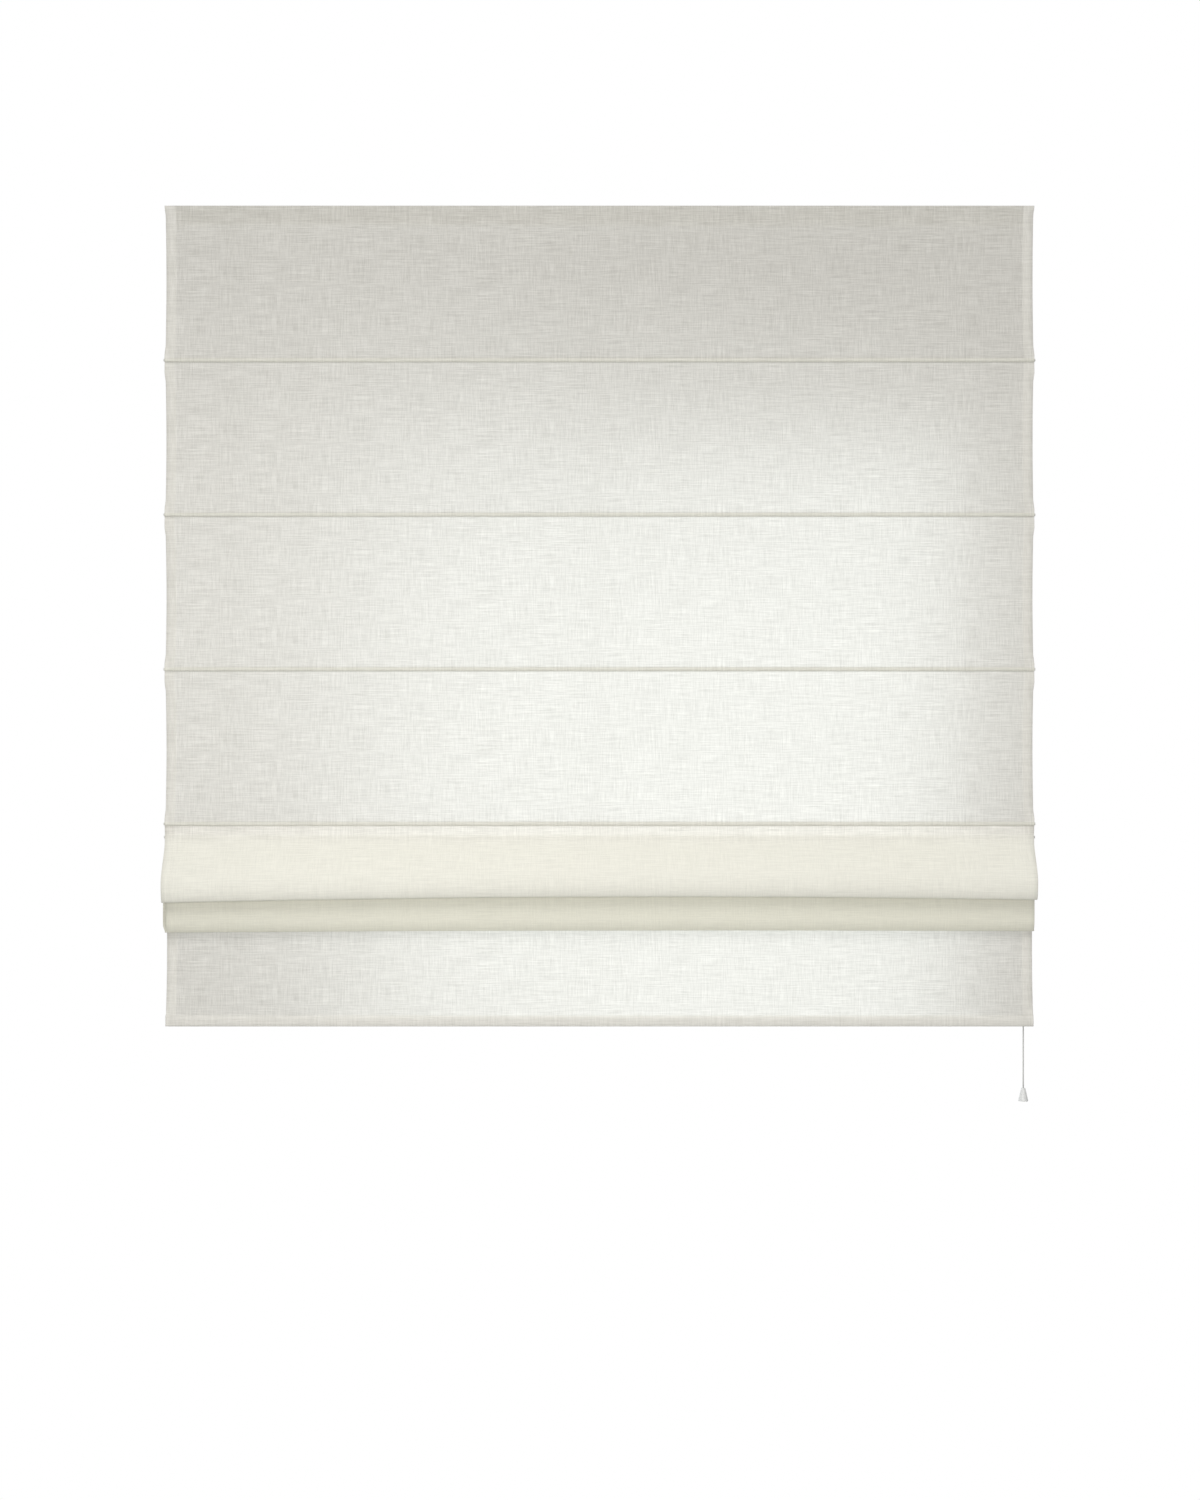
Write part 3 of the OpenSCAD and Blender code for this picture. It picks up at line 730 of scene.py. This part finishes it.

# Folds 1 and 2: the front layer hangs from one rod, the back layer goes up to the next.
# front: how far it stands ahead of the panels; ease: where below the rod it swings out;
# roll, lean and r: the wide roll, its turn in degrees and the tight roll under it; drop: the
# rod to its lowest edge; bottom: that edge's curve across x in mm; edges, behind: insets of the
# left and right edges of the two layers
# linen: the fold's cloth, paler and creamier than the panels' linen as painted light
FOLDS = [
    {"rod": 3, "next": 4, "start": "under", "front": 0.031, "ease": (0.016, 0.086),
     "roll": 0.034, "lean": 30, "r": 0.007, "drop": 0.1116, "bottom": (3.7, 3.4, -15.6),
     "waver": 0.0022, "edges": (0.0009, 0.0009), "behind": (0.0, 0.0), "linen": LINEN_FOLD_PAINTED_LIGHT},
    {"rod": 4, "next": 5, "start": "back", "front": 0.009, "ease": (0.008, 0.100),
     "roll": 0.030, "lean": 38, "r": 0.0030, "drop": 0.1408, "bottom": (1.3, 1.7, -4.6),
     "waver": 0.0012, "edges": (0.0036, 0.0016), "behind": (-0.0030, 0.0), "linen": LINEN_INNER_PAINTED_LIGHT},
]
SEAM = 0.00184          # rod axis to a fold's seam, in y and in z
# Radius of that pocket: just inside the seam, so that the two aren't welded and share no normals
RING_R = 0.00255
ROLL_STEPS, TURN_STEPS = 6, 14
FRONT_STEP, BACK_STEP = 0.0050, 0.0055      # between the rows of the two layers
SKEW_OVER, BEHIND_OVER = 0.040, 0.012       # heights over which their insets grow


def ease_between(d, e0, e1):
    return smooth((d - e0) / (e1 - e0))


def hang_fold(n, f):
    k, m = f["rod"], f["next"]
    roll, r = f["roll"], f["r"]
    y_front = CLOTH_Y - f["front"]
    lean = math.radians(f["lean"])
    z_low = ROD_Z[k] - f["drop"]
    z_mid = z_low + r
    z_turn = z_mid + (roll - r) * math.sin(lean)
    if f["start"] == "under":
        lead = at(k, UNDER[:3])
    else:
        y_seam, z_seam = POCKET_Y[k] + SEAM, ROD_Z[k] - SEAM
        lead = [(y_seam, z_seam), (y_seam, z_seam - 0.003)]
    y_lead, z_lead = lead[-1]
    front = []
    for z in spaced(z_lead, z_turn, FRONT_STEP)[1:]:
        out = ease_between(ROD_Z[k] - z, *f["ease"])
        front.append((y_lead + (y_front - y_lead) * out, z))
    # The belly leans back on a wide roll, then turns under on a tight one
    turn = []
    for i in range(1, ROLL_STEPS + 1):
        a = lean * i / ROLL_STEPS
        turn.append((y_front + roll * (1 - math.cos(a)), z_turn - roll * math.sin(a)))
    y_mid = y_front + roll - (roll - r) * math.cos(lean)
    for i in range(1, TURN_STEPS):
        a = lean + (math.pi - lean) * i / TURN_STEPS
        turn.append((y_mid - r * math.cos(a), z_mid - r * math.sin(a)))
    y_back = y_mid + r
    y_end, z_end = POCKET_Y[m] - SEAM, ROD_Z[m] - SEAM
    back = []
    for z in spaced(z_mid, z_end, BACK_STEP):
        up = smooth((z - z_mid) / (z_end - z_mid))
        back.append((y_back + (y_end - y_back) * up, z))
    split = ROLL_STEPS + TURN_STEPS * 3 // 4
    upper = lead + front + turn[:split]
    lower = turn[split - 1:] + back

    def fold_shape(rows, z_top):
        a0, a1, a2 = f["bottom"]

        def shape(x, i):
            y, z = rows[i]["y"], rows[i]["z"]
            w = smooth((z_top - z) / (z_top - z_low))
            sag = (a0 + a1 * x + a2 * x * x) * MM
            return y + w * waver(x, z + 3.3, f["waver"]), z + w * sag
        return shape

    turn_at = len(upper) - split

    def askew(i):
        grow = smooth((upper[0][1] - upper[i][1]) / SKEW_OVER)
        past = (i - turn_at) / (len(upper) - 1 - turn_at)
        close = 1 - smooth(past) if i > turn_at else 1.0
        return tuple(e * grow * close for e in f["edges"])

    def behind(i):
        grow = smooth((lower[i][1] - z_low) / BEHIND_OVER)
        return tuple(e * grow for e in f["behind"])

    c = Cloth(f"fold_{n}_front", f["linen"], side=f["linen"])
    c.rows = measured(upper, askew)
    shape = fold_shape(c.rows, ROD_Z[k])
    row_stitches(c, shape, 3, turn_at)
    ob = c.build(shape)
    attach(ob, f"rod_{k + 1}")
    seam_s = c.rows[-1]["s"]

    c = Cloth(f"fold_{n}_back", f["linen"], side=f["linen"])
    c.rows = measured(lower, behind, start=seam_s)
    angles = [math.radians(t) for t in range(225, -136, -15)]
    ring = [(POCKET_Y[m] + RING_R * math.cos(t), ROD_Z[m] + RING_R * math.sin(t)) for t in angles]
    c.extra.append((ring, c.rows[-1]["s"]))
    shape = fold_shape(c.rows, ROD_Z[m])
    row_stitches(c, shape, 4, len(c.rows) - 3)
    ob = c.build(shape)
    seam_top = max(shape(x * HALF, 0)[1] for x in (-1, -0.5, 0, 0.5, 1)) + 0.001
    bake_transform(ob)


for n, f in enumerate(FOLDS):
    hang_fold(n + 1, f)

# Bottom panel with the bar in its hem: the sleeve as (y, z) in mm from the panel's plane and the
# bar's upper edge, then its lower edge, then up the back
FOOT_DRAWN, FOOT_WAVER = 0.0022, 0.0018
SLEEVE_FRONT = [(-0.4, 5.5), (-1.1, 3.0), (-1.5, 0.0), (-1.6, -5.0)]
SLEEVE_FOOT = [(-1.5, 0.0), (-1.0, -0.6), (0.0, -0.9), (1.0, -0.6), (1.5, 0.0)]
SLEEVE_BACK = [(1.6, -5.0), (1.5, 0.0), (1.1, 3.0), (0.6, 4.5)]


def hang_foot():
    y6, z6 = POCKET_Y[5], ROD_Z[5]
    straight = [(y6, z) for z in spaced(z6 - 0.0026, BAR_HIGH + 0.008, ROW_STEP)]
    pts = straight + offset(y6, BAR_HIGH, SLEEVE_FRONT) + offset(y6, BAR_LOW, SLEEVE_FOOT)
    pts += offset(y6, BAR_HIGH, SLEEVE_BACK)

    def belly(i):
        if i >= len(straight):
            return 0.0
        return math.sin(math.pi * min(max((z6 - pts[i][1]) / (z6 - HEM_Z), 0), 1))

    def inset(i):
        drawn = FOOT_DRAWN * belly(i)
        return drawn, drawn

    def hem(i):
        return 1.0 if i < len(straight) - 2 else POCKET_HEM

    def shape(x, i):
        y, z = pts[i]
        return y + belly(i) * waver(x, z, FOOT_WAVER), z

    c = Cloth("bottom_panel", double=LINEN_HEM)
    c.rows = measured(pts, inset, hem, double=len(straight))
    row_stitches(c, shape, 2, len(straight) - 3)
    cross_stitches(c, y6 - 0.0007, BAR_HIGH + 0.0052, -1)
    cross_stitches(c, y6 + 0.0012, BAR_HIGH + 0.0034, 1)
    ob = c.build(shape)
    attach(ob, "rod_6")


hang_foot()

# CAD pieces keep their shapes and take their finishes
REPLACED = ("fabric", "lift_cords", "cord_tails", "pull_cord")
FINISH = {"headrail": COAT, "hook_tape": HOOKS, "loop_tape": LOOPS, "bottom_bar": FIBRE,
          "cord_connector": MILKY, "cord_bell": MILKY, "cord_adjusters": MILKY}
FINISH_BY_END = {"_rings": MILKY, "_pins": STEEL, "bracket": PAINT, "latch": PAINT}


def finish_of(name):
    if name in FINISH:
        return FINISH[name]
    for end, finish in FINISH_BY_END.items():
        if name.endswith(end):
            return finish
    return FIBRE if name.startswith("rod_") else PLASTIC


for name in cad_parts:
    if name not in REPLACED:
        ob = bpy.data.objects[name]
        ob.data.materials.clear()
        ob.data.materials.append(finish_of(name))

# Floor, lamps and white surroundings
FLOOR_Z = -2.36
floor_me = bpy.data.meshes.new("floor")
floor_me.from_pydata([(-2.5, -2.2, FLOOR_Z), (2.5, -2.2, FLOOR_Z), (2.5, 1.0, FLOOR_Z),
                      (-2.5, 1.0, FLOOR_Z)], [], [(0, 1, 2, 3)])
floor = bpy.data.objects.new("floor", floor_me)
scene.collection.objects.link(floor)
floor_me.materials.append(solid_material("pale_floor", (0.74, 0.74, 0.73), (0.82, 0.82, 0.81),
                                         0.6, 0.1, 3.0, 0.05))


def lamp(name, place, aim, size, power, colour=(1, 1, 1)):
    d = bpy.data.lights.new(name, "AREA")
    d.shape = "RECTANGLE"
    d.size, d.size_y = size
    d.energy = power
    d.color = colour
    o = bpy.data.objects.new(name, d)
    scene.collection.objects.link(o)
    o.location = place
    o.rotation_euler = (Vector(aim) - Vector(place)).to_track_quat("-Z", "Y").to_euler()
    o.visible_camera = False


lamp("key", (-0.3, -3.65, 4.05), (0.0, 0.0, -0.6), (4.6, 3.2), 207.0, (1.0, 0.99, 0.975))
lamp("fill", (-0.15, -2.3, -0.86), (-0.05, 0.0, -1.02), (2.0, 0.7), 33.0, (1.0, 0.995, 0.985))
# Behind the cloth, in place of the window
lamp("window_side", (0.09, 0.14, -0.93), (0.05, -0.16, -0.93), (0.92, 1.22), 4.9,
     (0.90, 0.96, 1.0))
lamp("left_side", (-0.64, 0.35, -0.60), (-0.64, 0.0, -0.60), (0.22, 0.7), 1.0)
lamp("right_side", (0.64, 0.35, -0.60), (0.64, 0.0, -0.60), (0.22, 0.7), 0.45)

world = bpy.data.worlds.new("studio")
scene.world = world
world.use_nodes = True
wt = world.node_tree
wt.nodes.clear()


def background(strength):
    node = add(wt, "ShaderNodeBackground")
    node.inputs["Color"].default_value = (1.0, 1.0, 1.0, 1.0)
    node.inputs["Strength"].default_value = strength
    return node


ray = add(wt, "ShaderNodeLightPath")
seen = math_of(wt, "MAXIMUM", ray.outputs["Is Camera Ray"], ray.outputs["Is Glossy Ray"])
sky, white = background(0.24), background(1.0)
w_mix = add(wt, "ShaderNodeMixShader")
link(wt, seen, w_mix.inputs[0])
link(wt, sky.outputs[0], w_mix.inputs[1])
link(wt, white.outputs[0], w_mix.inputs[2])
link(wt, w_mix.outputs[0], add(wt, "ShaderNodeOutputWorld").inputs["Surface"])
